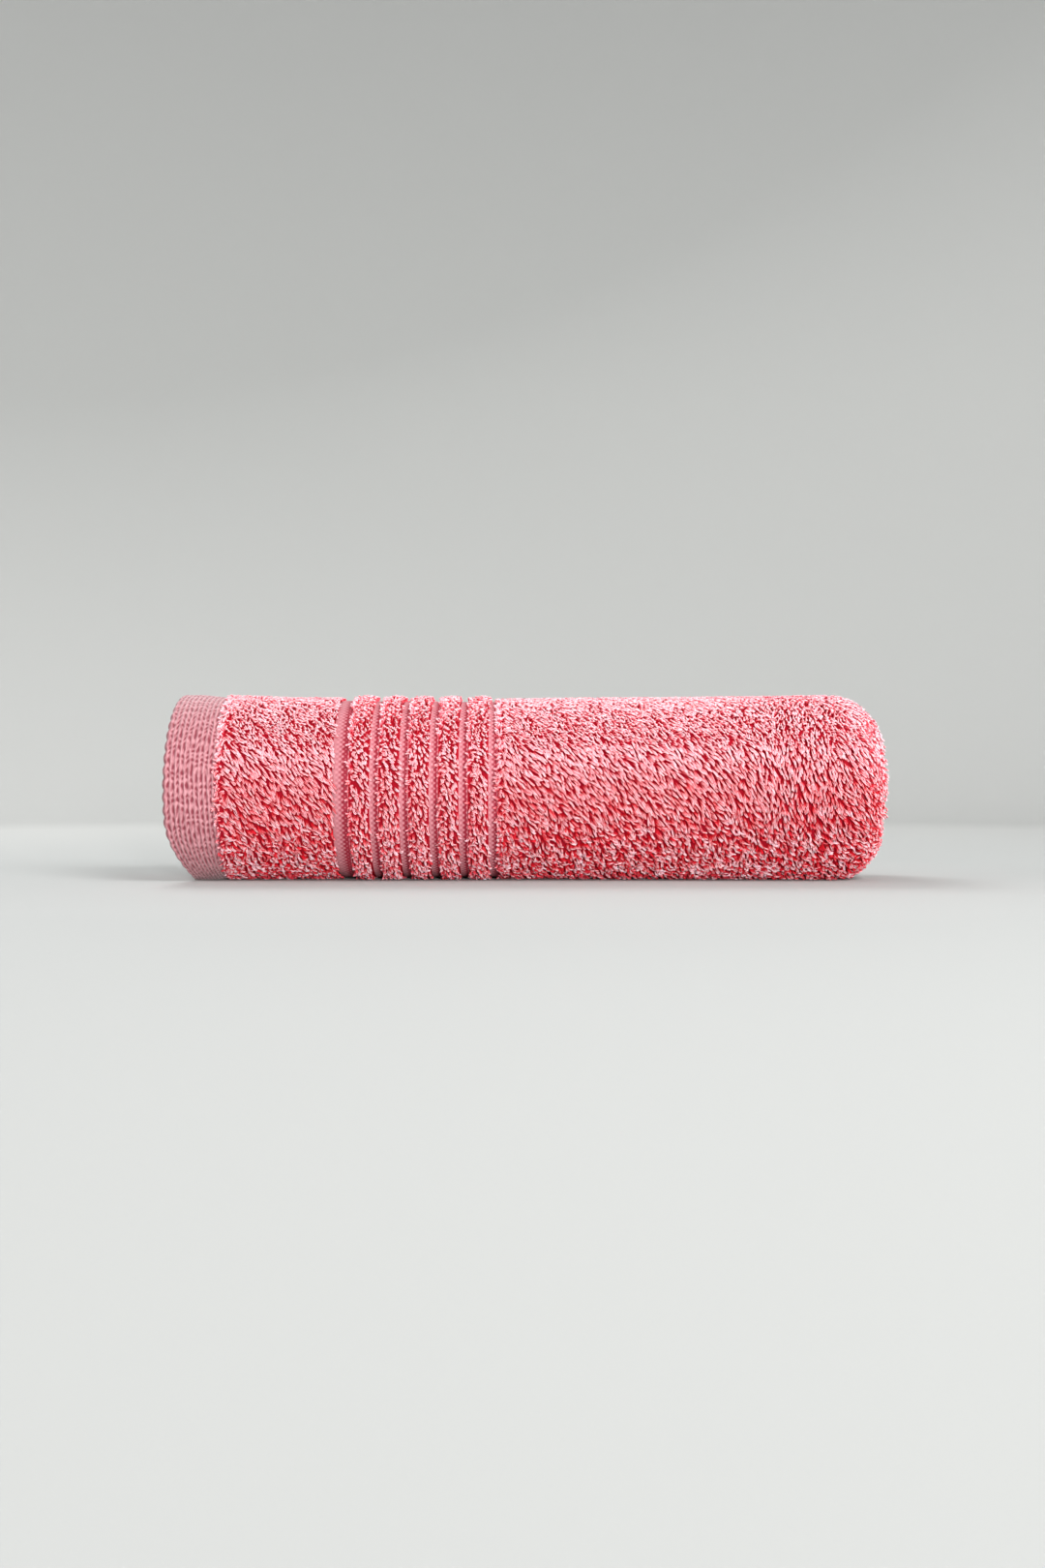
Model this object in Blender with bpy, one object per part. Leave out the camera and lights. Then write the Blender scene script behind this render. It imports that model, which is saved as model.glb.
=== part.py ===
"""Rolled hand towel: one terry cloth, folded in three and wound into a roll.

The roll lies along X and rests on the plane z = 0. The cloth is folded like a letter:
the outer panel shows its hem at the left end, the inner panel hangs on it by the fold
at the right end, and the middle panel is tucked between them. The folded strip is then
wound about three times. Every turn stays in its own ring of the roll, so the layers lie
a little apart. The origin is the middle of the underside.
"""

import math

import bmesh
import bpy
from mathutils import Vector

MM = 0.001

# Folded strip
STRIP_LENGTH = 305.0 * MM
LAYER = 3.55 * MM
LAYER_GAP = 0.35 * MM
STRIP_DEPTH = 3 * LAYER + 2 * LAYER_GAP
LEFT_END = -STRIP_LENGTH / 2
RIGHT_END = STRIP_LENGTH / 2

# Winding
OUTER_RADIUS = 49.45 * MM
CORE_RADIUS = 1.2 * MM
TURN_PITCH = 12.0 * MM
LOOSE_END_ANGLE = math.radians(-70)
STEP_ANGLE = math.radians(10)
SHOWN_STEPS = 38
FINE_STEPS = 60
COARSE_STEPS = 34
COARSE_RATIO = 2

# Shape of the roll seen from its end
OVAL = 0.065
SAG = 0.065
SAG_ANGLE = math.radians(-84)
SAG_SPREAD = math.radians(30)
FLAT_DEPTH = 40.7 * MM

# Right shoulder, where the strip thins towards its fold
SHOULDER = 12.0 * MM
SQUEEZE_LENGTH = 26.0 * MM
SQUEEZE = 0.34
SHOULDER_STEPS = [away * MM for away in (21.0, 16.0, 11.0, 7.0, 3.5, 0.8)]
DENT = 1.2 * MM
DENT_ANGLE = math.radians(-152)
DENT_SPREAD = math.radians(15)

# Hem
HEM_WIDTH = 22.2 * MM
HEM_RIDGES = 11
HEM_RIDGE_HEIGHT = 0.45 * MM
HEM_DIP = 1.4 * MM
HEM_DIP_FROM = 3
EDGE_ROUNDING = 0.8 * MM
EDGE_DEPTH = 0.9 * MM
EDGE_FACE_DEPTH = 2.0 * MM
HEM_TUCK = 7.0 * MM
HEM_TUCK_FROM = math.radians(-18)
HEM_TUCK_TO = math.radians(-65)

# Woven border with its raised terry ribs
BORDER_START = LEFT_END + 73.4 * MM
BORDER_END = LEFT_END + 138.9 * MM
FIRST_RIB = LEFT_END + 81.3 * MM
RIB_COUNT = 5
RIB_PITCH = 12.4 * MM
RIB_WIDTH = 9.4 * MM
RIB_EDGE_DEPTH = 0.4 * MM
RIB_EDGE_WIDTH = 0.8 * MM
GROOVE_DEPTH = 2.7 * MM
TERRY_DEPTH = 1.4 * MM
TERRY_BESIDE_HEM = 0.3 * MM
TERRY_BANK = 1.6 * MM
TERRY_SLOPE = 24.0 * MM

# Inner panels
BACK_FOLD = LEFT_END + 5.5 * MM
BACK_FOLD_RADIUS = (STRIP_DEPTH - LAYER - LAYER_GAP) / 2
TUCKED_HEM_END = RIGHT_END - 24.0 * MM
TUCKED_HEM_WIDTH = 22.0 * MM
TUCKED_HEM_INSET = 0.5 * MM
TUCKED_HEM_BANK = 2.0 * MM
BACK_FOLD_INSIDE = 1.0 * MM
FOLD_HOLLOW_START = 21.0 * MM
FOLD_HOLLOW_WAIST = 11.0 * MM
FOLD_HOLLOW_END = 5.0 * MM
FOLD_HOLLOW_EASE = 0.4 * MM

# Unevenness of a roll made by hand
WAVE_HEIGHT = 0.45 * MM
TURN_SHIFT = 1.5 * MM

# Cloth colour
CLOTH_COLOUR = (0.79, 0.23, 0.26, 1.0)
CLOTH_ROUGHNESS = 0.95


def clear_scene():
    for thing in list(bpy.data.objects):
        bpy.data.objects.remove(thing, do_unlink=True)


def smooth_step(value, start, end):
    part = min(max((value - start) / (end - start), 0.0), 1.0)
    return part * part * (3 - 2 * part)


def signed_angle(angle):
    """The same direction as an angle between -pi and pi."""
    return math.atan2(math.sin(angle), math.cos(angle))


def roundness(theta):
    """How far the roll reaches in a direction, against a true circle."""
    from_sag = signed_angle(theta - SAG_ANGLE)
    sag = SAG * math.exp(-(from_sag / SAG_SPREAD) ** 2)
    return 1 + OVAL * math.cos(2 * theta) - sag


def end_squeeze(x):
    """The roll gets slimmer at its right end, where the tucked hem runs out."""
    start = RIGHT_END - SQUEEZE_LENGTH
    part = max((x - start) / SQUEEZE_LENGTH, 0.0)
    return 1 - SQUEEZE * part ** 3


def fold_dent(x, theta):
    """The fold at the right end is pushed in a little low on the front."""
    near_fold = max((x - RIGHT_END + SHOULDER) / SHOULDER, 0.0)
    beside = signed_angle(theta - DENT_ANGLE) / DENT_SPREAD
    return -DENT * near_fold * math.exp(-beside ** 2)


def hem_tuck(x, theta):
    """The hem's edge curls inward where it passes under the roll."""
    elevation = math.asin(math.sin(theta))
    near_edge = min(max((LEFT_END + HEM_WIDTH - x) / HEM_WIDTH, 0.0), 1.0)
    return HEM_TUCK * near_edge * smooth_step(elevation, HEM_TUCK_FROM, HEM_TUCK_TO)


def turn_shift(x, phi):
    """Inner turns end a little short of the outer one, each by its own amount."""
    inner = smooth_step(phi, math.tau, 1.5 * math.tau)
    left = TURN_SHIFT * (1 + math.sin(1.3 * phi + 0.4))
    right = -TURN_SHIFT * (1 + math.sin(0.9 * phi + 2.0))
    share = x / STRIP_LENGTH + 0.5
    return inner * (left * (1 - share) + right * share)


def surface_wave(phi, x):
    """Shallow hollows and swellings of the outer turn."""
    theta = LOOSE_END_ANGLE - phi
    along = math.sin(x / (24 * MM) + 2 * math.cos(theta))
    around = math.sin(3 * theta + x / (55 * MM))
    return WAVE_HEIGHT * (0.6 * along + 0.4 * around)


def pressed(phi, depth):
    """Depth into the strip, which is pressed thinner where it is wound into the core."""
    room = OUTER_RADIUS - TURN_PITCH * phi / math.tau - CORE_RADIUS
    return depth * min(room / STRIP_DEPTH, 1.0)


def place(phi, x, depth, lift=0.0):
    """A point of the strip after winding: phi along it, x across it, depth into it."""
    theta = LOOSE_END_ANGLE - phi
    across = x + hem_tuck(x, theta) + fold_dent(x, theta) + turn_shift(x, phi)
    ring = OUTER_RADIUS - TURN_PITCH * phi / math.tau - pressed(phi, depth) + lift
    radius = ring * roundness(theta) * end_squeeze(across)
    height = max(radius * math.sin(theta), -FLAT_DEPTH)
    return Vector((across, radius * math.cos(theta), height))


def shoulder_depth(x):
    """Depth of the outer face where it rounds down to the fold at the right end."""
    part = max((x - RIGHT_END + SHOULDER) / SHOULDER, 0.0)
    rounded = math.sqrt(max(1 - part ** 2, 0.0))
    return STRIP_DEPTH / 2 * (1 - rounded)


def shoulder_columns():
    """Columns of the outer face on its way to the fold."""
    return [(RIGHT_END - away, shoulder_depth(RIGHT_END - away)) for away in SHOULDER_STEPS]


def hem_columns():
    """Ridges of the outer hem, flared at its edge and lower beside the terry."""
    columns = [
        (LEFT_END, EDGE_FACE_DEPTH),
        (LEFT_END + EDGE_ROUNDING / 2, EDGE_DEPTH),
    ]
    pitch = (HEM_WIDTH - EDGE_ROUNDING) / HEM_RIDGES
    for ridge in range(HEM_RIDGES):
        crest = LEFT_END + EDGE_ROUNDING + (ridge + 0.4) * pitch
        dip = HEM_DIP * smooth_step(ridge, HEM_DIP_FROM, HEM_RIDGES)
        columns.append((crest, dip))
        columns.append((crest + pitch / 2, dip + HEM_RIDGE_HEIGHT))
    return columns


def left_terry_columns():
    hem_line = LEFT_END + HEM_WIDTH
    return [
        (hem_line + TERRY_BANK / 4, TERRY_BESIDE_HEM + HEM_RIDGE_HEIGHT),
        (hem_line + TERRY_BANK, TERRY_BESIDE_HEM),
        (hem_line + TERRY_SLOPE, TERRY_DEPTH),
        (BORDER_START - TERRY_BANK, TERRY_DEPTH),
    ]


def border_columns():
    columns = [(BORDER_START, GROOVE_DEPTH)]
    half = RIB_WIDTH / 2
    for rib in range(RIB_COUNT):
        middle = FIRST_RIB + rib * RIB_PITCH
        columns += [
            (middle - half, GROOVE_DEPTH),
            (middle - half + RIB_EDGE_WIDTH, RIB_EDGE_DEPTH),
            (middle, 0.0),
            (middle + half - RIB_EDGE_WIDTH, RIB_EDGE_DEPTH),
            (middle + half, GROOVE_DEPTH),
        ]
    columns.append((BORDER_END, GROOVE_DEPTH))
    return columns


def right_terry_columns():
    """The wide terry field, which rises to its full height before the shoulder."""
    first = BORDER_END + TERRY_BANK
    last = RIGHT_END - SQUEEZE_LENGTH
    columns = []
    for share in (0.0, 0.4, 0.7):
        depth = TERRY_DEPTH * (1 - smooth_step(share, 0.5, 1.0))
        columns.append((first + share * (last - first), depth))
    return columns + shoulder_columns()


def shown_columns():
    """Outer face of the outer turn, as (x, depth) from the hem to the fold."""
    return hem_columns() + left_terry_columns() + border_columns() + right_terry_columns()


def plain_columns():
    """Outer face of the inner turns, which the next turn covers."""
    return [
        (LEFT_END, EDGE_FACE_DEPTH),
        (LEFT_END + EDGE_ROUNDING, EDGE_DEPTH),
        (LEFT_END + HEM_WIDTH, EDGE_DEPTH),
    ] + shoulder_columns()


def right_fold_columns():
    """Round the fold at the right end and onto the inner panel."""
    columns = [(RIGHT_END, STRIP_DEPTH / 2)]
    for x, depth in reversed(shoulder_columns()):
        columns.append((x, STRIP_DEPTH - depth))
    return columns


def back_fold_columns():
    """Round the fold at the left end, behind the hem, and onto the middle panel."""
    middle_x = BACK_FOLD + BACK_FOLD_RADIUS
    middle_depth = STRIP_DEPTH - BACK_FOLD_RADIUS
    columns = []
    for degrees in range(0, 181, 45):
        turned = math.radians(degrees)
        columns.append((
            middle_x - BACK_FOLD_RADIUS * math.sin(turned),
            middle_depth + BACK_FOLD_RADIUS * math.cos(turned),
        ))
    return columns


def middle_panel_columns():
    """Both faces of the middle panel, with its thin hem, and into its fold."""
    upper = LAYER + LAYER_GAP
    lower = upper + LAYER
    hem_start = TUCKED_HEM_END - TUCKED_HEM_WIDTH
    inside = BACK_FOLD + BACK_FOLD_RADIUS + BACK_FOLD_INSIDE
    return [
        (hem_start - TUCKED_HEM_BANK, upper),
        (hem_start, upper + TUCKED_HEM_INSET),
        (TUCKED_HEM_END, upper + TUCKED_HEM_INSET),
        (TUCKED_HEM_END, lower - TUCKED_HEM_INSET),
        (hem_start, lower - TUCKED_HEM_INSET),
        (hem_start - TUCKED_HEM_BANK, lower),
        (inside, lower),
        (inside - LAYER_GAP, lower + LAYER_GAP / 2),
        (inside, lower + LAYER_GAP),
    ]


def fold_hollow_columns():
    """Inside the fold at the right end, from the inner panel to the outer one."""
    below = 2 * (LAYER + LAYER_GAP)
    return [
        (RIGHT_END - FOLD_HOLLOW_START, below),
        (RIGHT_END - FOLD_HOLLOW_WAIST, below - FOLD_HOLLOW_EASE),
        (RIGHT_END - FOLD_HOLLOW_END, STRIP_DEPTH / 2),
        (RIGHT_END - FOLD_HOLLOW_WAIST, LAYER + FOLD_HOLLOW_EASE),
        (RIGHT_END - FOLD_HOLLOW_START, LAYER),
    ]


def hidden_columns():
    """The rest of the folded section, on from the fold and back to the hem's edge."""
    hem_back = [
        (LEFT_END + HEM_WIDTH, LAYER),
        (LEFT_END + EDGE_ROUNDING, LAYER - LAYER_GAP),
    ]
    return (right_fold_columns() + back_fold_columns() + middle_panel_columns()
            + fold_hollow_columns() + hem_back)


def winding_stations():
    """Angles along the winding, finer in the turns that show at the ends."""
    fine = [step * STEP_ANGLE for step in range(FINE_STEPS + 1)]
    coarse_angle = COARSE_RATIO * STEP_ANGLE
    coarse = [fine[-1] + (step + 1) * coarse_angle for step in range(COARSE_STEPS)]
    return fine + coarse


def shown_ring(phi):
    """Points of the outer face where it can be seen."""
    return [place(phi, x, depth, surface_wave(phi, x)) for x, depth in shown_columns()]


def plain_ring(phi):
    """Points of the outer face where the next turn covers it."""
    return [place(phi, x, depth) for x, depth in plain_columns()]


def join_strip(mesh, first, second):
    """Quads between two rows with the same number of points."""
    for index in range(len(first) - 1):
        mesh.faces.new((first[index], first[index + 1], second[index + 1], second[index]))


def join_uneven(mesh, first, second):
    """Triangles between two rows with different numbers of points, in step along x."""
    near = 0
    far = 0
    while near < len(first) - 1 or far < len(second) - 1:
        near_next = first[near + 1].co.x if near < len(first) - 1 else math.inf
        far_next = second[far + 1].co.x if far < len(second) - 1 else math.inf
        if near_next <= far_next:
            mesh.faces.new((first[near], first[near + 1], second[far]))
            near += 1
        else:
            mesh.faces.new((first[near], second[far + 1], second[far]))
            far += 1


def build_roll():
    mesh = bmesh.new()
    rings = []
    for step, phi in enumerate(winding_stations()):
        outer = shown_ring(phi) if step <= SHOWN_STEPS else plain_ring(phi)
        rest = [place(phi, x, depth) for x, depth in hidden_columns()]
        rings.append(([mesh.verts.new(point) for point in outer],
                      [mesh.verts.new(point) for point in rest]))
    for (outer, rest), (next_outer, next_rest) in zip(rings, rings[1:]):
        if len(outer) == len(next_outer):
            join_strip(mesh, outer, next_outer)
        else:
            join_uneven(mesh, outer, next_outer)
        join_strip(mesh, [outer[-1]] + rest + [outer[0]],
                   [next_outer[-1]] + next_rest + [next_outer[0]])
    for outer, rest in (rings[0], rings[-1]):
        mesh.faces.new(outer + rest)
    bmesh.ops.recalc_face_normals(mesh, faces=mesh.faces)
    bmesh.ops.triangulate(mesh, faces=mesh.faces, quad_method="BEAUTY", ngon_method="EAR_CLIP")
    return mesh


def stand_on_origin(mesh):
    """Moves the roll so that the origin is the middle of its underside."""
    low = [min(vertex.co[axis] for vertex in mesh.verts) for axis in range(3)]
    high = [max(vertex.co[axis] for vertex in mesh.verts) for axis in range(3)]
    move = Vector((-(low[0] + high[0]) / 2, -(low[1] + high[1]) / 2, -low[2]))
    bmesh.ops.translate(mesh, verts=mesh.verts, vec=move)


def cloth_material():
    material = bpy.data.materials.new("rose_terry_cloth")
    material.use_nodes = True
    shader = material.node_tree.nodes["Principled BSDF"]
    shader.inputs["Base Color"].default_value = CLOTH_COLOUR
    shader.inputs["Roughness"].default_value = CLOTH_ROUGHNESS
    shader.inputs["Metallic"].default_value = 0.0
    return material


def main():
    clear_scene()
    mesh = build_roll()
    stand_on_origin(mesh)
    data = bpy.data.meshes.new("rolled_towel")
    mesh.to_mesh(data)
    mesh.free()
    data.shade_smooth()
    data.set_sharp_from_angle(angle=math.radians(40))
    data.materials.append(cloth_material())
    towel = bpy.data.objects.new("rolled_towel", data)
    bpy.context.scene.collection.objects.link(towel)


main()
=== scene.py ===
"""Looks of the rolled hand towel: rose terry cloth with a flat hem and a ribbed border.

The cloth is one sheet, folded in three and wound, like the solid that it replaces. Its
pile stands on it as yarn loops, each one a bent hairpin of thread. Places on the cloth
are given as x along the roll, phi along the winding from the loose end inward, and depth
from the outer face into the folded strip.
"""

import math

import bpy
import numpy as np
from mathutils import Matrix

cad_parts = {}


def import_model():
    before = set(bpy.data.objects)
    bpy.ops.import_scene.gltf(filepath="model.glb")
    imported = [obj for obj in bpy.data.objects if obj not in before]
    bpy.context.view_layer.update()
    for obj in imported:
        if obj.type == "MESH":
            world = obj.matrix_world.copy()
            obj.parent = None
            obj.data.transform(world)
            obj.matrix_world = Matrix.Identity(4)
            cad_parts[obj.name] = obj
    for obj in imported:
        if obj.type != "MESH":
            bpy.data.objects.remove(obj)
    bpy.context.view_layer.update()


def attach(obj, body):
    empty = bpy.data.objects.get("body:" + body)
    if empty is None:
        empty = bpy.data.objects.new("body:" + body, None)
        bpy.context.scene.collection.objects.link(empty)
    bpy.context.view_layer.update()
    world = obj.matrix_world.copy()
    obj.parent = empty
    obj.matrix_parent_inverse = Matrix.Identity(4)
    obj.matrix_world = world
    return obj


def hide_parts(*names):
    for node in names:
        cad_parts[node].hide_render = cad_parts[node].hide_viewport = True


MM = 0.001
NODE = "rolled_towel"
BODY = "root"

# Folded strip
STRIP_LENGTH = 305.0 * MM
LAYER = 3.55 * MM
LAYER_GAP = 0.35 * MM
STRIP_DEPTH = 3 * LAYER + 2 * LAYER_GAP
LEFT_END = -STRIP_LENGTH / 2
RIGHT_END = STRIP_LENGTH / 2

# Winding
OUTER_RADIUS = 49.45 * MM
CORE_RADIUS = 1.2 * MM
TURN_PITCH = 12.0 * MM
LOOSE_END_ANGLE = math.radians(-70)
WINDING_END = math.radians(1278)
WINDING_SAMPLES = 2600
ROLL_AXIS_Y = 3.28 * MM

# Shape of the roll seen from its end
OVAL = 0.065
SAG = 0.065
SAG_ANGLE = math.radians(-84)
SAG_SPREAD = math.radians(30)
FLAT_DEPTH = 40.7 * MM

# Right shoulder
SHOULDER = 12.0 * MM
SQUEEZE_LENGTH = 26.0 * MM
SQUEEZE = 0.34
DENT = 1.2 * MM
DENT_ANGLE = math.radians(-152)
DENT_SPREAD = math.radians(15)

# Hem
HEM_WIDTH = 22.2 * MM
HEM_LINE = LEFT_END + HEM_WIDTH
EDGE_ROUNDING = 0.8 * MM
EDGE_DEPTH = 0.9 * MM
EDGE_FACE_DEPTH = 2.0 * MM
RIDGES = 11
RIDGE_PITCH = (HEM_WIDTH - EDGE_ROUNDING) / RIDGES
RIDGE_HEIGHT = 0.5 * MM
RIDGE_POINTS = 6
RIDGE_SHIFT = 0.1
RIDGE_POWER = 0.8
HEM_DIP = 1.4 * MM
HEM_DIP_FROM = 3
HEM_TUCK = 7.0 * MM
HEM_TUCK_FROM = math.radians(-18)
HEM_TUCK_TO = math.radians(-65)
SCALLOP_PITCH = 5.75 * MM
SCALLOP_DRIFT = 31.0 * MM
SCALLOP_UNEVEN = 0.3
SCALLOP = 0.7 * MM
SCALLOP_LIFT = 0.3 * SCALLOP
SCALLOP_REACH = 4.0 * MM
RIDGE_WANDER = 0.22 * MM
RIDGE_WANDER_AROUND = 7.0 * MM
RIDGE_WANDER_ACROSS = 9.0 * MM

# Woven border
BORDER_START = LEFT_END + 73.4 * MM
GROOVES_START = BORDER_START - 3.1 * MM
BORDER_END = LEFT_END + 138.9 * MM
BORDER_MARGIN = 0.2 * MM
FIRST_RIB = LEFT_END + 81.3 * MM
RIB_COUNT = 5
RIB_PITCH = 12.4 * MM
RIB_WIDTH = 9.4 * MM
RIB_MIDDLES = [FIRST_RIB + rib * RIB_PITCH for rib in range(RIB_COUNT)]
RIB_FOOT = 0.4 * MM
UNDER_RIB_DEPTH = 2.9 * MM
GROOVE_DEPTH = 2.7 * MM
GROOVE_EDGE = 0.3 * MM
GROOVE_MIDDLE = 1.5 * MM
GROOVE_HOLLOW = 0.05 * MM

# Tips of the pile
TERRY_DEPTH = 1.4 * MM
TERRY_BESIDE_HEM = 0.3 * MM
TERRY_BANK = 1.6 * MM
TERRY_SLOPE = 24.0 * MM
FULL_HEIGHT_FROM = RIGHT_END - 21.0 * MM
PILE = 2.0 * MM

# Inner panels
BACK_FOLD = LEFT_END + 5.5 * MM
BACK_FOLD_RADIUS = (STRIP_DEPTH - LAYER - LAYER_GAP) / 2
BACK_FOLD_PILE = 1.7 * MM
TUCKED_HEM_END = RIGHT_END - 24.0 * MM
TUCKED_HEM_START = TUCKED_HEM_END - 22.0 * MM
TUCKED_HEM_BANK = 2.0 * MM
TUCKED_HEM_INSET = 0.3 * MM
OUTER_PANEL_BACK = 4.3 * MM
MIDDLE_PANEL_TOP = 5.3 * MM
MIDDLE_PANEL_BACK = 6.7 * MM
INNER_PANEL_TOP = 8.3 * MM

# Room inside the two folds
INSIDE_LEFT = BACK_FOLD + BACK_FOLD_RADIUS + 1.0 * MM
INSIDE_BULGE = 0.6 * MM
HOLLOW_WIDE = RIGHT_END - 21.0 * MM
HOLLOW_NARROW = RIGHT_END - 11.0 * MM
HOLLOW_TIP = RIGHT_END - 4.0 * MM

# Unevenness of a roll made by hand. Each shift is the rate and start of a wave.
WAVE_HEIGHT = 0.45 * MM
WAVE_ALONG = 24.0 * MM
WAVE_AROUND = 55.0 * MM
WAVE_FADE = 0.3 * MM
TURN_SHIFT = 1.5 * MM
LEFT_SHIFT = (1.3, 0.4)
RIGHT_SHIFT = (0.9, 2.0)

# Rows and columns of the cloth's mesh
LEFT_FIELD_FROM = HEM_LINE + 0.5 * MM
LEFT_FIELD_TO = GROOVES_START - 2.0 * MM
LEFT_FIELD_COLUMNS = 12
RIGHT_FIELD_FROM = BORDER_END + 4.0 * MM
RIGHT_FIELD_TO = RIGHT_END - SHOULDER - 5.0 * MM
RIGHT_FIELD_COLUMNS = 22
COLUMNS_PER_RIB = 6
FOLD_COLUMNS = 15
BACK_FOLD_DEGREES = 20
FINE_STEP = math.radians(1)
COARSE_RATIO = 3
FINE_ROWS = 378
INNER_STEP = math.radians(10)

# Finishes of the cloth's faces
GROUND = 0
HEM = 1
GROOVE = 2

# Yarn and spacing of the loops
YARN_RADIUS = 0.28 * MM
LEG_SPACING = 0.25 * MM
YARN_SIDES = 3
FLOOR_CLEARANCE = 0.12 * MM
LOOP_PITCH = 1.52 * MM
RIB_LOOP_PITCH = 1.42 * MM
EDGE_LOOP_PITCH = 1.3 * MM
FOLD_LOOP_PITCH = 1.38 * MM
ROW_PITCH = 0.93
COLUMN_PITCH = 1.075
LOOP_SHIFT = 0.5
NOISE_WAVES = 7

# Random sizes of a loop, as shares of its common size
REACH_RANGE = (0.75, 1.2)
SPACING_RANGE = (0.85, 1.2)
THICKNESS_RANGE = (0.88, 1.14)
LOWEST_LOOP = 0.6

# Where the loops of each part begin and end
FIELD_GAP = 0.4 * MM
HEM_GAP = 0.1 * MM
EDGE_BAND = 2.6 * MM
EDGE_SPILL = 1.5 * MM
EDGE_OVERHANG = 0.5 * MM
FAR_AWAY = 1.0
RIB_HALF = RIB_WIDTH / 2 - 0.15 * MM
RIB_LEFT_INSET = 0.6 * MM
RIB_RIGHT_INSET = 1.0 * MM
RIB_TOP_DEPTH = 0.1 * MM
RIB_FALL = 0.9 * MM
RIB_EDGE_DEPTH = 0.8 * MM
RIB_REACH = 0.68
FOLD_REACH = 0.6
RIGHT_FIELD_CUTS = (0.38, 0.74)
HIDDEN_CORE = math.radians(40)

# Lean of the loops in degrees, from +x towards the loose end. Each rise adds its degrees
# between two elevations.
LEAN = 24.0
LEAN_RISES = ((26.0, -70.0, -20.0), (12.0, 0.0, 60.0))
PATCH_LEAN = 32.0
PATCH_MIDDLE = 112.0 * MM
PATCH_SPREAD = 22.0 * MM
FOLD_LEAN = 30.0
FOLD_BAND = 16.0 * MM
EDGE_LEAN = 38.0
BORDER_LEAN = 20.0
RIB_LEAN = 9.0
NOISE_LEAN = 6.0
LOOSE_LEAN = 7.0
FLOOR_LOOSE_LEAN = 28.0
EDGE_TURN = 170.0

# Zones of the roll, by the elevation in degrees, x or y at which each begins and is full
ELEVATION_ZONES = {
    "upper": (-5.0, 25.0),
    "high": (10.0, 40.0),
    "top": (30.0, 60.0),
    "crown": (62.0, 82.0),
    "low": (-15.0, -45.0),
    "curly": (5.0, -50.0),
    "near_floor": (-48.0, -72.0),
}
FLUFFY_ZONE = (RIGHT_END - 9.0 * MM, RIGHT_END - 2.0 * MM)
LEFT_FOLD_ZONE = (LEFT_END + 16.0 * MM, LEFT_END + 12.0 * MM)
BEHIND_ZONE = (0.0, 30.0 * MM)

# Stations of one loop from root to root: reach along its lean, height, and side
FINE_LOOP = np.array([
    (0.00, -0.25, -0.80),
    (0.12, 0.62, -0.95),
    (0.50, 0.95, -1.00),
    (0.92, 1.00, -0.70),
    (1.00, 0.90, 0.50),
    (0.45, 0.85, 1.00),
    (0.04, -0.25, 0.80),
])
PLAIN_LOOP = np.array([
    (0.00, -0.25, -0.80),
    (0.28, 0.84, -1.00),
    (0.94, 1.00, -0.60),
    (0.80, 0.92, 0.90),
    (0.10, -0.25, 0.80),
])

# How much lower each edge of the yarn's section counts for its colour, a painted shade on the
# yarn's underside
UNDERSIDE_SHADE = (0.0, 0.62, 0.62)

# Margin round a loop's cell on the texture, as a share of the cell
CELL_MARGIN = 0.1

# Colours. HEM_COLOUR, GROOVE_COLOUR and STAGE_COLOUR are for viewers that read no nodes.
# Painted shade: the dark red that the yarn takes deep in the pile, at its roots
ROOT_SHADE_COLOUR = (0.48, 0.002, 0.007)
YARN_COLOUR = (0.90, 0.025, 0.050)
# Painted light: a brighter red for the gaps between the loops where the pile is painted as lit
LIT_GAP_COLOUR = (0.98, 0.14, 0.19)
# Painted highlight: the pale pink of the loops' tips stands for the yarn's gloss in the light
TIP_HIGHLIGHT_COLOUR = (0.99, 0.52, 0.57)
# Pale fibre grain, shown only on the painted highlight
FIBRE_COLOUR = (0.98, 0.70, 0.75)
# Painted shade: the ground between the loops is dark red for the shade of the loops over it,
# paler round the folds
GROUND_DEEP_SHADE_COLOUR = (0.26, 0.004, 0.012)
GROUND_SHADE_COLOUR = (0.36, 0.008, 0.020)
FOLD_GROUND_COLOUR = (0.60, 0.09, 0.12)
HEM_COLOUR = (0.60, 0.28, 0.31)
HEM_YARN_COLOUR = (0.49, 0.225, 0.248)
# Painted shade in the slots of the hem, on its scallops, beside its edge and beside the terry
HEM_SLOT_SHADE_COLOUR = (0.20, 0.028, 0.043)
GROOVE_COLOUR = (0.70, 0.28, 0.32)
GROOVE_YARN_COLOUR = (0.56, 0.23, 0.26)
# Colour of the weave's dots and of the painted shadow at the right of each groove
GROOVE_DOT_AND_SHADOW_COLOUR = (0.24, 0.015, 0.03)
STAGE_COLOUR = (0.55, 0.555, 0.545)
# Painted shade on the stage: darker round the roll and well in front of it, where the lamps
# light the floor most
STAGE_MIDDLE_SHADE_COLOUR = (0.42, 0.432, 0.424)
STAGE_OUTER_COLOUR = (0.55, 0.556, 0.543)
STAGE_FRONT_SHADE_COLOUR = (0.30, 0.304, 0.297)

# Patterns of the weaves, in millimetres
GROUND_ENDS = 16.0
DASH_PITCH = 3.4
DASH_SLANT = 0.7
DASH_SCATTER = 9.0
DOT_PITCH = 2.4

# Stage
STAGE_RADIUS = 1.7
STAGE_CURVE = 0.6
STAGE_HEIGHT = 1.6
STAGE_SIDES = 96
STAGE_MIDDLE = 0.5

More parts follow.
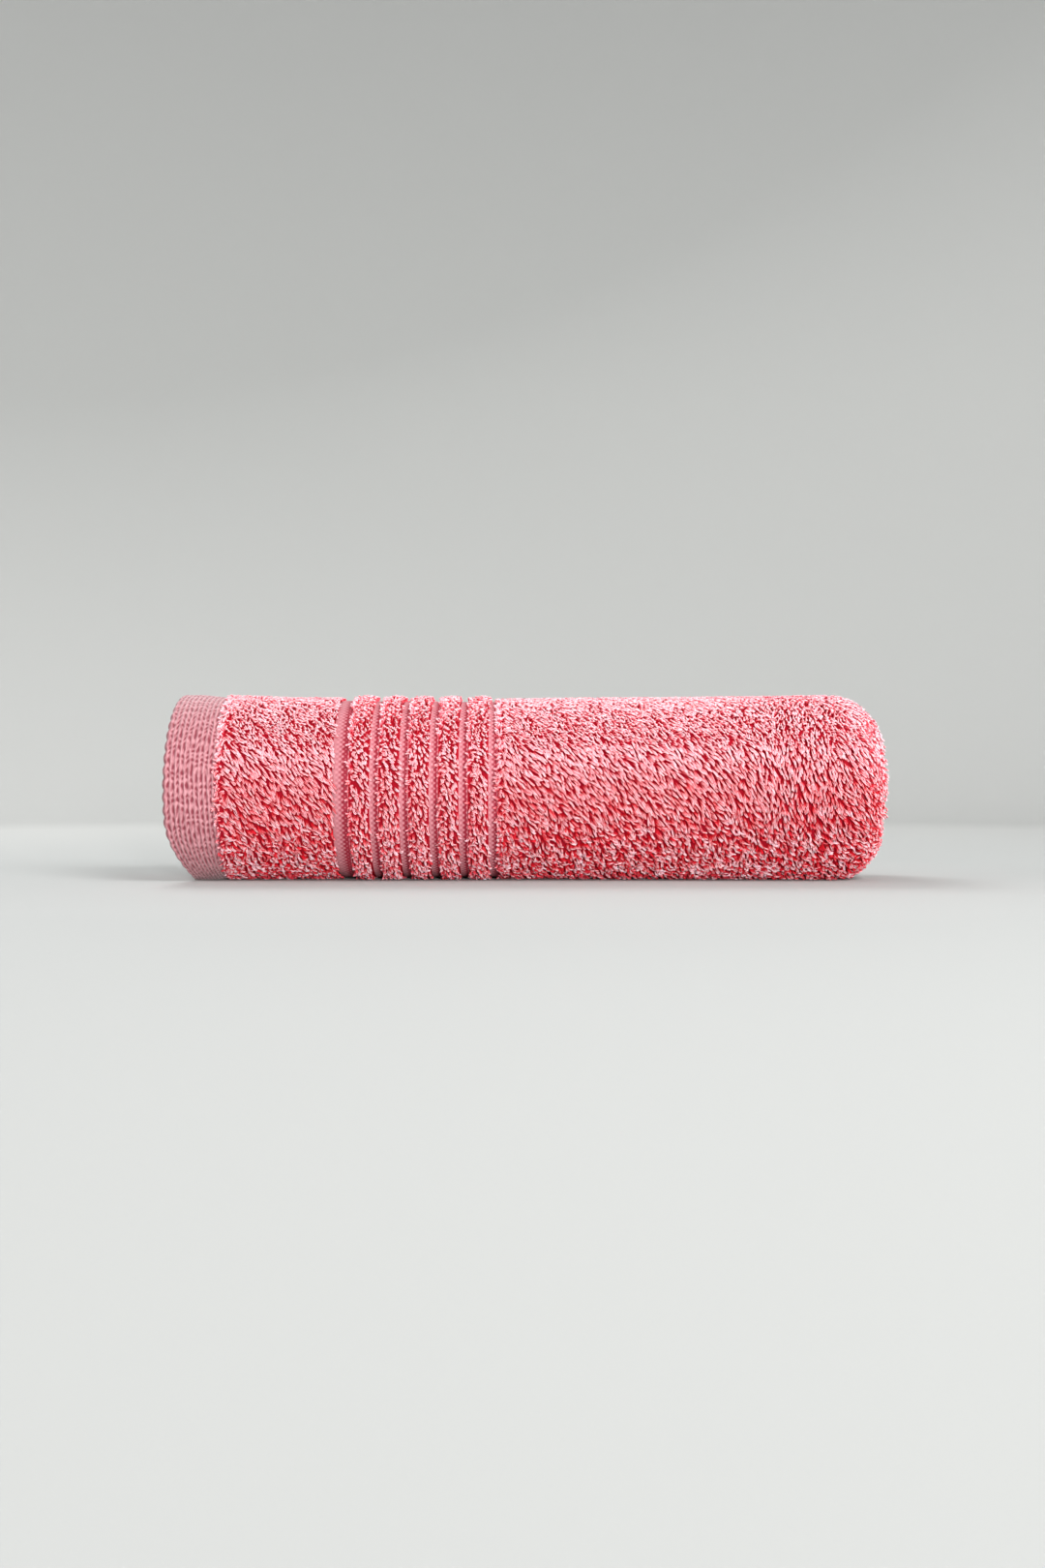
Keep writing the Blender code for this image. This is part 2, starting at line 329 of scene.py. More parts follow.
# Lights: name, place, target, size and power
LIGHTS = (
    ("key_light", (0.75, -1.0, 0.95), (0.0, 0.0, 0.04), 0.8, 21.5),
    ("front_light", (0.25, -1.4, 0.17), (0.0, 0.0, 0.03), 0.14, 19.5),
    ("top_light", (0.2, -0.1, 1.2), (0.0, 0.0, 0.04), 1.0, 1.4),
    ("back_light", (-0.45, 0.75, 1.2), (0.0, 0.0, 0.03), 0.8, 12.0),
    ("left_light", (-1.0, -0.25, 0.55), (-0.15, 0.0, 0.04), 0.5, 3.0),
)
ROOM_COLOUR = (0.97, 0.98, 1.0)
ROOM_STRENGTH = 0.28

# Camera and image
CAMERA_PLACE = (-3.0 * MM, -701.0 * MM, 41.5 * MM)
FOCAL_PIXELS = 1636.0
IMAGE_HEIGHT = 1620.0
SENSOR_HEIGHT = 36.0


def ramp(value, start, end):
    """From 0 at the start to 1 at the end, smooth at both."""
    part = np.clip((value - start) / (end - start), 0.0, 1.0)
    return part * part * (3 - 2 * part)


def signed_angle(angle):
    """The same direction as an angle between -pi and pi."""
    return np.arctan2(np.sin(angle), np.cos(angle))


def roundness(theta):
    """How far the roll reaches in a direction, against a true circle."""
    sag = SAG * np.exp(-(signed_angle(theta - SAG_ANGLE) / SAG_SPREAD) ** 2)
    return 1 + OVAL * np.cos(2 * theta) - sag


def end_squeeze(x):
    """The roll gets slimmer at its right end, where the tucked hem runs out."""
    part = np.maximum((x - RIGHT_END + SQUEEZE_LENGTH) / SQUEEZE_LENGTH, 0.0)
    return 1 - SQUEEZE * part ** 3


def fold_dent(x, theta):
    """The fold at the right end is pushed in a little low on the front."""
    near_fold = np.maximum((x - RIGHT_END + SHOULDER) / SHOULDER, 0.0)
    beside = signed_angle(theta - DENT_ANGLE) / DENT_SPREAD
    return -DENT * near_fold * np.exp(-beside ** 2)


def elevation_of(theta):
    """Height of a direction above the horizontal, on the front and the back alike."""
    return np.arcsin(np.sin(theta))


def hem_tuck(x, theta):
    """The hem's edge curls inward where it passes under the roll."""
    near_edge = np.clip((HEM_LINE - x) / HEM_WIDTH, 0.0, 1.0)
    return HEM_TUCK * near_edge * ramp(elevation_of(theta), HEM_TUCK_FROM, HEM_TUCK_TO)


def turn_shift(x, phi):
    """Inner turns end a little short of the outer one, each by its own amount."""
    inner = ramp(phi, math.tau, 1.5 * math.tau)
    left, right = (TURN_SHIFT * (1 + np.sin(rate * phi + start))
                   for rate, start in (LEFT_SHIFT, RIGHT_SHIFT))
    share = x / STRIP_LENGTH + 0.5
    return inner * (left * (1 - share) - right * share)


def surface_wave(phi, x):
    """Shallow hollows and swellings of the outer turn, gone where another turn covers it."""
    theta = LOOSE_END_ANGLE - phi
    along = np.sin(x / WAVE_ALONG + 2 * np.cos(theta))
    around = np.sin(3 * theta + x / WAVE_AROUND)
    shown = 1 - ramp(phi, math.tau, 1.06 * math.tau)
    return WAVE_HEIGHT * (0.6 * along + 0.4 * around) * shown


def pressed(phi, depth):
    """Depth into the strip, which is pressed thinner where it is wound into the core."""
    room = OUTER_RADIUS - TURN_PITCH * phi / math.tau - CORE_RADIUS
    return depth * np.minimum(room / STRIP_DEPTH, 1.0)


def place(phi, x, depth, lift=0.0):
    """Points of the strip after winding, in the frame of the part."""
    theta = LOOSE_END_ANGLE - phi
    across = x + hem_tuck(x, theta) + fold_dent(x, theta) + turn_shift(x, phi)
    ring = OUTER_RADIUS - TURN_PITCH * phi / math.tau - pressed(phi, depth) + lift
    radius = ring * roundness(theta) * end_squeeze(across)
    height = np.maximum(radius * np.sin(theta), -FLAT_DEPTH)
    points = (across, radius * np.cos(theta) + ROLL_AXIS_Y, height + FLAT_DEPTH)
    return np.stack(np.broadcast_arrays(*points), axis=-1)


def winding_table():
    """Angles of the winding, and the length of the outer face up to each."""
    angles = np.linspace(0, WINDING_END, WINDING_SAMPLES)
    radius = OUTER_RADIUS - TURN_PITCH * angles / math.tau
    radius = radius * roundness(LOOSE_END_ANGLE - angles)
    steps = 0.5 * (radius[1:] + radius[:-1]) * np.diff(angles)
    return angles, np.concatenate([[0.0], np.cumsum(steps)])


ANGLES, LENGTHS = winding_table()


def winding_length(phi):
    """Length of the outer face along the winding, up to phi."""
    return np.interp(phi, ANGLES, LENGTHS)


def winding_angle(length):
    """The phi at which the winding has run that far."""
    return np.interp(length, LENGTHS, ANGLES)


def tip_depth(x):
    """Depth of the pile's tips in the terry fields, which lie lower than the ribs."""
    right_start = BORDER_END + TERRY_BANK
    right_middle = right_start + 0.5 * (RIGHT_END - SQUEEZE_LENGTH - right_start)
    xs = (HEM_LINE, HEM_LINE + TERRY_SLOPE, right_middle, FULL_HEIGHT_FROM)
    return np.interp(x, xs, (TERRY_BESIDE_HEM, TERRY_DEPTH, TERRY_DEPTH, 0.0))


def in_border(x):
    """Whether a place lies on the ribs or between them."""
    return (x > BORDER_START) & (x < BORDER_END)


def root_depth(x):
    """Depth of the cloth under the pile."""
    return np.where(in_border(x), UNDER_RIB_DEPTH, tip_depth(x) + PILE)


def fold_curve(points):
    """The cloth under the pile round the fold at the right end, as (x, depth)."""
    turned = np.linspace(0, math.pi, points)
    x = RIGHT_END - SHOULDER + (SHOULDER - PILE) * np.sin(turned)
    depth = STRIP_DEPTH / 2 - (STRIP_DEPTH / 2 - PILE) * np.cos(turned)
    return x, depth


def back_fold_curve(turned, radius):
    """The cloth round the fold inside the left end, from the inner panel on."""
    x = BACK_FOLD + BACK_FOLD_RADIUS - radius * np.sin(turned)
    depth = STRIP_DEPTH - BACK_FOLD_RADIUS + radius * np.cos(turned)
    return x, depth


def hem_columns():
    """The hem from its back, round its edge and over its ridges to the terry."""
    # The edge, as shares of its rounding and depths
    edge = [
        (2.2, LAYER - LAYER_GAP),
        (0.9, LAYER - 1.6 * LAYER_GAP),
        (0.3, LAYER - 2.6 * LAYER_GAP),
        (0.0, EDGE_FACE_DEPTH),
        (0.2, EDGE_FACE_DEPTH - 0.5 * MM),
        (0.6, EDGE_DEPTH),
    ]
    columns = [(HEM_LINE, LAYER), (LEFT_END + HEM_WIDTH / 2, LAYER - LAYER_GAP / 2)]
    columns += [(LEFT_END + share * EDGE_ROUNDING, depth) for share, depth in edge]
    for point in range(RIDGES * RIDGE_POINTS + 1):
        ridge = point / RIDGE_POINTS
        dip = HEM_DIP * float(ramp(ridge, HEM_DIP_FROM, RIDGES))
        crest = abs(math.sin(math.pi * (ridge + RIDGE_SHIFT))) ** RIDGE_POWER
        valley = RIDGE_HEIGHT * (1 - crest)
        columns.append((LEFT_END + EDGE_ROUNDING + ridge * RIDGE_PITCH, dip + valley))
    return np.array(columns)


def border_columns():
    """Grooves of flat weave and the ground of the ribs between them."""
    before = GROOVES_START - BORDER_MARGIN
    after = BORDER_END + BORDER_MARGIN
    columns = [(before, root_depth(before)), (GROOVES_START + GROOVE_EDGE, GROOVE_DEPTH)]
    half = RIB_WIDTH / 2
    for middle in RIB_MIDDLES:
        columns += [
            (middle - half - GROOVE_EDGE, GROOVE_DEPTH),
            (middle - half + RIB_FOOT, UNDER_RIB_DEPTH),
            (middle, UNDER_RIB_DEPTH),
            (middle + half - RIB_FOOT, UNDER_RIB_DEPTH),
            (middle + half + GROOVE_EDGE, GROOVE_DEPTH),
            (middle + half + GROOVE_MIDDLE, GROOVE_DEPTH + GROOVE_HOLLOW),
        ]
    return columns + [(BORDER_END - GROOVE_EDGE, GROOVE_DEPTH), (after, root_depth(after))]


def terry_columns(x_from, x_to, count):
    """The ground of a terry field."""
    return [(x, float(root_depth(x))) for x in np.linspace(x_from, x_to, count)]


def body_columns():
    """The rest of the section: terry, border, fold, inner and middle panels."""
    left = terry_columns(LEFT_FIELD_FROM, LEFT_FIELD_TO, LEFT_FIELD_COLUMNS)
    left[0] = (left[0][0], HEM_DIP + RIDGE_HEIGHT)
    right = terry_columns(RIGHT_FIELD_FROM, RIGHT_FIELD_TO, RIGHT_FIELD_COLUMNS)
    fold = list(zip(*fold_curve(FOLD_COLUMNS)))
    turned = np.radians(np.arange(0, 181, BACK_FOLD_DEGREES))
    radius = BACK_FOLD_RADIUS - BACK_FOLD_PILE * np.sin(turned)
    back = list(zip(*back_fold_curve(turned, radius)))
    start, end = TUCKED_HEM_START, TUCKED_HEM_END
    upper, lower = MIDDLE_PANEL_TOP, MIDDLE_PANEL_BACK
    inset = TUCKED_HEM_INSET
    middle_panel = [
        (start - TUCKED_HEM_BANK, upper),
        (start, upper + inset),
        (end, upper + inset),
        (end, lower - inset),
        (start, lower - inset),
        (start - TUCKED_HEM_BANK, lower),
        (INSIDE_LEFT, lower),
        (INSIDE_LEFT - INSIDE_BULGE, (lower + INNER_PANEL_TOP) / 2),
        (INSIDE_LEFT, INNER_PANEL_TOP),
    ]
    hollow = [
        (HOLLOW_WIDE, INNER_PANEL_TOP - 0.1 * MM),
        (HOLLOW_NARROW, INNER_PANEL_TOP - 0.6 * MM),
        (HOLLOW_TIP, STRIP_DEPTH / 2),
        (HOLLOW_NARROW, OUTER_PANEL_BACK + 0.2 * MM),
        (HOLLOW_WIDE, OUTER_PANEL_BACK),
    ]
    return np.array(left + border_columns() + right + fold + back + middle_panel + hollow)


def shown_lift(phi, x, depth):
    """The wave of the outer face, which fades out on the way round the fold."""
    outer = 1 - ramp(depth, OUTER_PANEL_BACK - WAVE_FADE, OUTER_PANEL_BACK)
    fade = np.clip((RIGHT_END - x) / SHOULDER, 0.0, 1.0)
    return surface_wave(phi, x) * np.minimum(outer, fade)


def section_points(phi, columns, is_hem):
    """Rows of points: one row for each phi, one point for each column."""
    rows = phi[:, None]
    x = np.broadcast_to(columns[:, 0], (len(phi), len(columns)))
    depth = columns[None, :, 1]
    lift = shown_lift(rows, x, depth)
    if is_hem:
        around = winding_length(phi)[:, None]
        near_edge = np.clip(1 - (x - LEFT_END) / SCALLOP_REACH, 0.0, 1.0)
        uneven = SCALLOP_UNEVEN * np.sin(around / SCALLOP_DRIFT)
        bulge = np.abs(np.sin(math.pi * around / SCALLOP_PITCH + uneven))
        lift = lift + SCALLOP_LIFT * near_edge * (bulge - 0.5) * (depth < LAYER - LAYER_GAP)
        wander = RIDGE_WANDER * np.sin(around / RIDGE_WANDER_AROUND + x / RIDGE_WANDER_ACROSS)
        wander = wander * ramp(x, LEFT_END, LEFT_END + HEM_WIDTH / 2)
        x = x + (SCALLOP * near_edge * (0.5 - bulge) + wander)
    return place(rows, x, depth, lift)


def grid_quads(grid):
    """Faces between neighbours in a grid of point numbers."""
    corners = (grid[:-1, :-1], grid[:-1, 1:], grid[1:, 1:], grid[1:, :-1])
    return np.stack(corners, -1).reshape(-1, 4)


def stitch(fine, coarse, fine_first):
    """Triangles between a column of fine rows and one with every third row."""
    triangles = []
    for step in range(len(coarse) - 1):
        near = fine[step * COARSE_RATIO:(step + 1) * COARSE_RATIO + 1]
        triangles += [
            (near[0], coarse[step], near[1]),
            (near[1], coarse[step], near[2]),
            (near[2], coarse[step], coarse[step + 1]),
            (near[2], coarse[step + 1], near[3]),
        ]
    triangles = np.array(triangles)
    return triangles if fine_first else triangles[:, ::-1]


def new_mesh(name, points, face_sets):
    """A mesh from arrays: points, and sets of faces that each have one number of corners."""
    data = bpy.data.meshes.new(name)
    data.vertices.add(len(points))
    data.vertices.foreach_set("co", np.asarray(points, np.float32).ravel())
    corners = np.concatenate([faces.ravel() for faces in face_sets]).astype(np.int32)
    sizes = np.concatenate([np.full(len(faces), faces.shape[1]) for faces in face_sets])
    starts = np.concatenate([[0], np.cumsum(sizes)[:-1]]).astype(np.int32)
    data.loops.add(len(corners))
    data.loops.foreach_set("vertex_index", corners)
    data.polygons.add(len(sizes))
    data.polygons.foreach_set("loop_start", starts)
    data.polygons.foreach_set("use_smooth", np.full(len(sizes), True))
    data.update(calc_edges=True)
    return data


def add_attribute(data, name, values):
    """A number for each point, or three."""
    values = np.asarray(values, np.float32)
    kind, key = ("FLOAT", "value") if values.ndim == 1 else ("FLOAT_VECTOR", "vector")
    layer = data.attributes.new(name, kind, "POINT")
    layer.data.foreach_set(key, values.ravel())


def link_object(name, data):
    """A new object in the scene."""
    item = bpy.data.objects.new(name, data)
    bpy.context.scene.collection.objects.link(item)
    return item


def add_object(name, data, *materials):
    """A new mesh object with its materials."""
    for material in materials:
        data.materials.append(material)
    return link_object(name, data)


def cloth_faces(fine, coarse, inner):
    """Faces of the three blocks of points, of the seams between them, and of both ends."""
    inner = np.vstack([np.concatenate([fine[-1], coarse[-1]]), inner])
    inner = np.hstack([inner, inner[:, :1]])
    quads = np.concatenate([grid_quads(grid) for grid in (fine, coarse, inner)])
    triangles = np.concatenate([
        stitch(fine[:, -1], coarse[:, 0], True),
        stitch(fine[:, 0], coarse[:, -1], False),
    ])
    first_row = np.concatenate([fine[0], coarse[0]])
    return [quads, triangles, first_row[None, ::-1], inner[-1:, :-1]]


def groove_places(hem_count, count):
    """For each column, how far right it lies in its groove, for the painted shadow there. The
    first groove starts below 0.
    """
    places = np.zeros(count)
    for rib in range(RIB_COUNT + 1):
        start = hem_count + LEFT_FIELD_COLUMNS + 1 + COLUMNS_PER_RIB * rib
        places[start:start + 2] = (0.4 if rib else -0.4, 1.0)
    return places


def weave_values(section, hem_count, angles):
    """For each point: millimetres across and along the cloth, and its place in a groove."""
    run = (section[:, 0] - LEFT_END - EDGE_ROUNDING) / MM
    places = groove_places(hem_count, len(section))
    values = []
    for phi, columns in zip(angles, (slice(0, hem_count), slice(hem_count, None), slice(None))):
        across, along = np.meshgrid(run[columns], winding_length(phi) / MM)
        groove_place = np.broadcast_to(places[columns], across.shape)
        values.append(np.stack([across, along, groove_place], -1).reshape(-1, 3))
    return np.concatenate(values)


def paint_zones(data, section, hem_count, row_counts):
    """Gives each face the finish of its columns: hem, groove or ground of the pile."""
    columns = np.arange(len(section))
    blocks = (columns[:hem_count], columns[hem_count:], columns)
    column_of = np.concatenate([np.tile(block, rows) for block, rows in zip(blocks, row_counts)])
    border_first = hem_count + LEFT_FIELD_COLUMNS
    border_last = border_first + len(border_columns())
    of_border = (columns >= border_first) & (columns < border_last)
    under_rib = section[:, 1] > UNDER_RIB_DEPTH - 0.01 * MM
    inside_rib = under_rib & np.roll(under_rib, 1) & np.roll(under_rib, -1)
    zone = np.full(len(section), GROUND, np.int32)
    zone[:hem_count] = HEM
    zone[of_border & ~inside_rib] = GROOVE
    starts = np.zeros(len(data.polygons), np.int32)
    data.polygons.foreach_get("loop_start", starts)
    corner = np.zeros(len(data.loops), np.int32)
    data.loops.foreach_get("vertex_index", corner)
    face_zone = np.minimum(zone[column_of[corner[starts]]], zone[column_of[corner[starts + 2]]])
    face_zone[-2:] = HEM
    data.polygons.foreach_set("material_index", face_zone)


def build_cloth(*materials):
    """The folded and wound sheet, fine at its outer hem and coarse elsewhere."""
    fine_phi = np.arange(FINE_ROWS + 1) * FINE_STEP
    coarse_phi = fine_phi[::COARSE_RATIO]
    inner_phi = np.arange(fine_phi[-1] + INNER_STEP, WINDING_END + FINE_STEP, INNER_STEP)
    hem = hem_columns()
    body = body_columns()
    blocks = [
        section_points(fine_phi, hem, True),
        section_points(coarse_phi, body, False),
        np.concatenate([section_points(inner_phi, hem, True),
                        section_points(inner_phi, body, False)], axis=1),
    ]
    points = np.concatenate([block.reshape(-1, 3) for block in blocks])
    firsts = np.cumsum([0] + [block.shape[0] * block.shape[1] for block in blocks])
    grids = [first + np.arange(block.shape[0] * block.shape[1]).reshape(block.shape[:2])
             for first, block in zip(firsts, blocks)]
    data = new_mesh("towel_cloth", points, cloth_faces(*grids))
    section = np.concatenate([hem, body])
    weave = weave_values(section, len(hem), (fine_phi, coarse_phi, inner_phi))
    add_attribute(data, "weave", weave)
    cloth = add_object("towel_cloth", data, *materials)
    paint_zones(data, section, len(hem), [len(block) for block in blocks])
    return cloth


class Noise:
    """Smooth uneven values over the cloth, from a few waves of one rough length."""

    def __init__(self, seed, size):
        random = np.random.default_rng(seed)
        turn = random.uniform(0, math.tau, NOISE_WAVES)
        wavelength = size * random.uniform(0.7, 1.5, NOISE_WAVES)
        self.kx = math.tau * np.cos(turn) / wavelength
        self.ks = math.tau * np.sin(turn) / wavelength
        self.shift = random.uniform(0, math.tau, NOISE_WAVES)
        self.scale = math.sqrt(2 / NOISE_WAVES)

    def at(self, x, s):
        angles = x[:, None] * self.kx + s[:, None] * self.ks + self.shift
        return np.sin(angles).sum(1) * self.scale


LEAN_NOISE = Noise(11, 13 * MM)
CLUMP_NOISE = Noise(12, 6 * MM)
HEIGHT_NOISE = Noise(13, 9 * MM)


def unit(vectors):
    return vectors / np.maximum(np.linalg.norm(vectors, axis=-1, keepdims=True), 1e-12)


def scattered(random, length_x, length_s, pitch):
    """Places on a staggered grid, each one moved a little."""
    rows = int(length_s / (pitch * ROW_PITCH))
    columns = int(length_x / (pitch * COLUMN_PITCH))
    row, column = np.meshgrid(np.arange(rows), np.arange(columns), indexing="ij")
    across = (column + 0.25 + 0.5 * (row % 2)) / columns
    along = (row + 0.5) / rows
    across = across + LOOP_SHIFT * random.uniform(-1, 1, across.shape) / columns
    along = along + LOOP_SHIFT * random.uniform(-1, 1, along.shape) / rows
    return across.ravel() * length_x, along.ravel() * length_s


def loop_points(roots, lean, side, normal, sizes, stations):
    """Rings of points round the yarn of each loop, as (loop, station, ring, xyz)."""
    reach, height, width, curl, thickness = sizes.T[..., None, None]
    along, up, beside = (stations[None, :, k, None] for k in range(3))
    centre = (roots[:, None]
              + lean[:, None] * (reach * along)
              + normal[:, None] * (height * up)
              + side[:, None] * (width * beside + curl * along ** 2))
    tangent = unit(np.gradient(centre, axis=1))
    tilt = unit(normal[:, None] * reach - 0.5 * lean[:, None] * height)
    first = unit(tilt - tangent * (tilt * tangent).sum(-1, keepdims=True))
    second = np.cross(tangent, first)
    turned = (np.arange(YARN_SIDES) / YARN_SIDES * math.tau)[None, None, :, None]
    radius = thickness[:, :, None]
    ring = radius * (np.cos(turned) * first[:, :, None] + np.sin(turned) * second[:, :, None])
    points = centre[:, :, None] + ring
    points[..., 2] = np.maximum(points[..., 2], FLOOR_CLEARANCE)
    return points


def loop_faces(count, stations):
    """Quads of that many loops."""
    ring = np.arange(YARN_SIDES)
    after = np.roll(ring, -1)
    base = np.stack([ring, after, after + YARN_SIDES, ring + YARN_SIDES], -1)
    steps = YARN_SIDES * np.arange(stations - 1)[:, None, None]
    loops = YARN_SIDES * stations * np.arange(count)[:, None, None]
    return ((base[None] + steps).reshape(-1, 4)[None] + loops).reshape(-1, 4)


def loop_uvs(first, count, wide, stations):
    """Places of the quads' corners on the texture, where each loop has a square cell."""
    step, ring = np.meshgrid(np.arange(stations - 1), np.arange(YARN_SIDES), indexing="ij")
    u = (step[..., None] + np.array([0, 0, 1, 1])) / (stations - 1)
    v = (ring[..., None] + np.array([0, 1, 1, 0])) / YARN_SIDES
    one = CELL_MARGIN + (1 - 2 * CELL_MARGIN) * np.stack([u, v], -1).reshape(-1, 2)
    cell = np.arange(first, first + count)
    corner = np.stack([cell % wide, cell // wide], -1)
    return ((corner[:, None] + one) / wide).reshape(-1, 2)


def build_pile(name, sets, material):
    """One piece of several sets of loops. Those that face the front have more stations."""
    *frames, tones_and_painted_light, front = (np.concatenate(parts) for parts in zip(*sets))
    points, faces, rises, looks, uvs = ([] for _ in range(5))
    wide = math.ceil(math.sqrt(len(front)))
    placed = 0
    first = 0
    for chosen, stations in ((front, FINE_LOOP), (~front, PLAIN_LOOP)):
        count = int(chosen.sum())
        if not count:
            continue
        rings = loop_points(*(part[chosen] for part in frames), stations)
        points.append(rings.reshape(-1, 3))
        faces.append(first + loop_faces(count, len(stations)))
        # Painted shade: the colour darkens as rise falls towards the roots and on the yarn's
        # underside
        rise = np.clip(stations[:, 1, None] - np.array(UNDERSIDE_SHADE), 0, 1)
        rises.append(np.tile(rise.ravel(), count))
        looks.append(np.repeat(tones_and_painted_light[chosen], YARN_SIDES * len(stations), axis=0))
        uvs.append(loop_uvs(placed, count, wide, len(stations)))
        placed += count
        first += len(points[-1])
    data = new_mesh(name, np.concatenate(points), [np.concatenate(faces)])
    add_attribute(data, "rise", np.concatenate(rises))
    for kind, values in zip(("tone_and_painted_light", "lit"), np.concatenate(looks).T):
        add_attribute(data, kind, values)
    layer = data.uv_layers.new(name="OFBake")
    layer.data.foreach_set("uv", np.concatenate(uvs).astype(np.float32).ravel())
    return add_object(name, data, material)


def from_left_edge(x):
    """Distance of a loop from the left edge of its field or rib."""
    edges = [HEM_LINE, BORDER_END] + [middle - RIB_WIDTH / 2 for middle in RIB_MIDDLES]
    distance = x[:, None] - np.array(edges)
    distance = np.where(distance < -EDGE_SPILL, FAR_AWAY, np.maximum(distance, 0.0))
    return distance.min(axis=1)


def steeper_at_edges(x):
    """Loops beside the hem and the border lean along the edge and less across it."""
    from_left = EDGE_LEAN * (1 - ramp(from_left_edge(x), 0.0, EDGE_BAND))
    near_border = ramp(x, GROOVES_START - EDGE_BAND, GROOVES_START)
    to_border = BORDER_LEAN * near_border * (x < BORDER_START)
    return from_left + np.where(in_border(x), RIB_LEAN, to_border)


def lean_angle(random, x, s, theta):
    """Direction of lean, from +x towards the loose end, in radians."""
    elevation = np.degrees(elevation_of(theta))
    base = LEAN
    for degrees, start, full in LEAN_RISES:
        base = base + degrees * ramp(elevation, start, full)
    patch = np.exp(-((x - PATCH_MIDDLE) / PATCH_SPREAD) ** 2)
    base = base + PATCH_LEAN * patch * ramp(elevation, -50.0, 0.0)
    base = base + FOLD_LEAN * ramp(x, RIGHT_END - FOLD_BAND, RIGHT_END)
    base = base + steeper_at_edges(x)
    uneven = NOISE_LEAN * LEAN_NOISE.at(x, s) + NOISE_LEAN * CLUMP_NOISE.at(x, s)
    at_edge = 1 - ramp(from_left_edge(x), 0.3 * EDGE_BAND, EDGE_BAND)
    turned = EDGE_TURN * at_edge * random.uniform(-1, 1, len(x))
    loose = LOOSE_LEAN + FLOOR_LOOSE_LEAN * ramp(-elevation, 5.0, 60.0)
    return np.radians(base + turned + uneven + loose * random.normal(0, 1, len(x)))


def loop_zones(x, y, theta):
    """How far each loop stands in each zone of the roll, from 0 to 1."""
    elevation = np.degrees(elevation_of(theta))
    zones = {name: ramp(elevation, *span) for name, span in ELEVATION_ZONES.items()}
    zones["fluffy"] = ramp(x, *FLUFFY_ZONE)
    zones["left_fold"] = ramp(x, *LEFT_FOLD_ZONE)
    zones["behind"] = ramp(y, *BEHIND_ZONE)
    zones["near_floor"] = zones["near_floor"] * (1 - zones["behind"])
    zones["on_rib"] = in_border(x)
    zones["at_edge"] = 1 - ramp(from_left_edge(x), 0.0, 0.8 * EDGE_BAND)
    return zones


def by_zone(zones, value, **changes):
    """A value with its change in each zone that is named."""
    for name, change in changes.items():
        value = value + change * zones[name]
    return value


def loop_tone_and_painted_light(random, x, zones, own_height):
    """How pale the tip of each loop is, from painted light and shade by its place on the roll
    and a random tone of its own, and how much painted light reaches between the loops.
    """
    rib_place = (x - FIRST_RIB) / RIB_PITCH
    rib_place = rib_place - np.round(rib_place)
    # Painted light round both ends of the roll, and paler tips along the left edges of fields
    # and ribs
    ends = np.maximum.reduce([zones["fluffy"], 0.4 * zones["at_edge"], zones["left_fold"]])
    # Painted light high and low on the front, less on the crown, and a painted contact shadow
    # near the floor; on each rib paler to the right, as if lit from the right
    tone_and_painted_light = by_zone(zones, 0.58, upper=0.22, high=0.2, crown=-0.25, low=0.12, near_floor=-0.45)
    tone_and_painted_light = tone_and_painted_light + (0.24 + 0.6 * rib_place) * zones["on_rib"] + 0.3 * ends
    # Painted shade on loops that stand lower than their neighbours
    tone_and_painted_light = tone_and_painted_light + 1.4 * np.minimum(own_height, 0.0)
    spread = by_zone(zones, 0.1, curly=0.4) * by_zone(zones, 1.0, on_rib=-0.4)
    tone_and_painted_light = tone_and_painted_light + spread * random.normal(0, 1, len(x))
    # Painted light between the loops, most high on the roll, behind and round the folds
    lit = by_zone(zones, 0.0, upper=0.6, behind=0.5, left_fold=0.5, high=0.25, top=0.15,
                  on_rib=0.2, fluffy=0.3, at_edge=0.3, near_floor=0.3)
    return np.stack([tone_and_painted_light, np.clip(lit, 0.0, 0.9)], -1)


def make_loops(random, phi, x, s, frames, height, reach_scale):
    """Everything that build_pile needs to know of a set of loops."""
    roots, along, around, normal = frames
    theta = LOOSE_END_ANGLE - phi
    angle = lean_angle(random, x, s, theta)[:, None]
    lean = unit(along * np.cos(angle) - around * np.sin(angle))
    side = np.cross(normal, lean)
    zones = loop_zones(x, roots[:, 1], theta)
    count = len(x)
    reach = by_zone(zones, 4.0, curly=-1.9) * MM
    reach = reach * reach_scale * random.uniform(*REACH_RANGE, count)
    reach = reach * (0.5 + 0.5 * ramp(from_left_edge(x), 0.0, EDGE_BAND))
    reach = reach * by_zone(zones, 1.0, fluffy=-0.3)
    own_height = by_zone(zones, 0.12, curly=0.06, upper=-0.03, top=-0.04, fluffy=0.16)
    own_height = own_height * random.normal(0, 1, count)
    uneven = 1 + 0.08 * by_zone(zones, 1.0, top=-0.6) * HEIGHT_NOISE.at(x, s) + own_height
    uneven = np.clip(uneven, LOWEST_LOOP, by_zone(zones, 1.25, fluffy=0.35))
    width = LEG_SPACING * random.uniform(*SPACING_RANGE, count) * random.choice((-1, 1), count)
    curl = by_zone(zones, 0.18, curly=0.5) * MM * random.normal(0, 1, count)
    thickness = YARN_RADIUS * random.uniform(*THICKNESS_RANGE, count)
    thickness = thickness * by_zone(zones, 1.0, curly=0.12, top=0.25)
    sizes = (reach, height * uneven - YARN_RADIUS, width, curl, thickness)
    tones_and_painted_light = loop_tone_and_painted_light(random, x, zones, own_height)
    front = (normal[:, 1] < -0.2) & (normal[:, 2] < 0.5)
    return roots, lean, side, normal, np.stack(sizes, -1), tones_and_painted_light, front


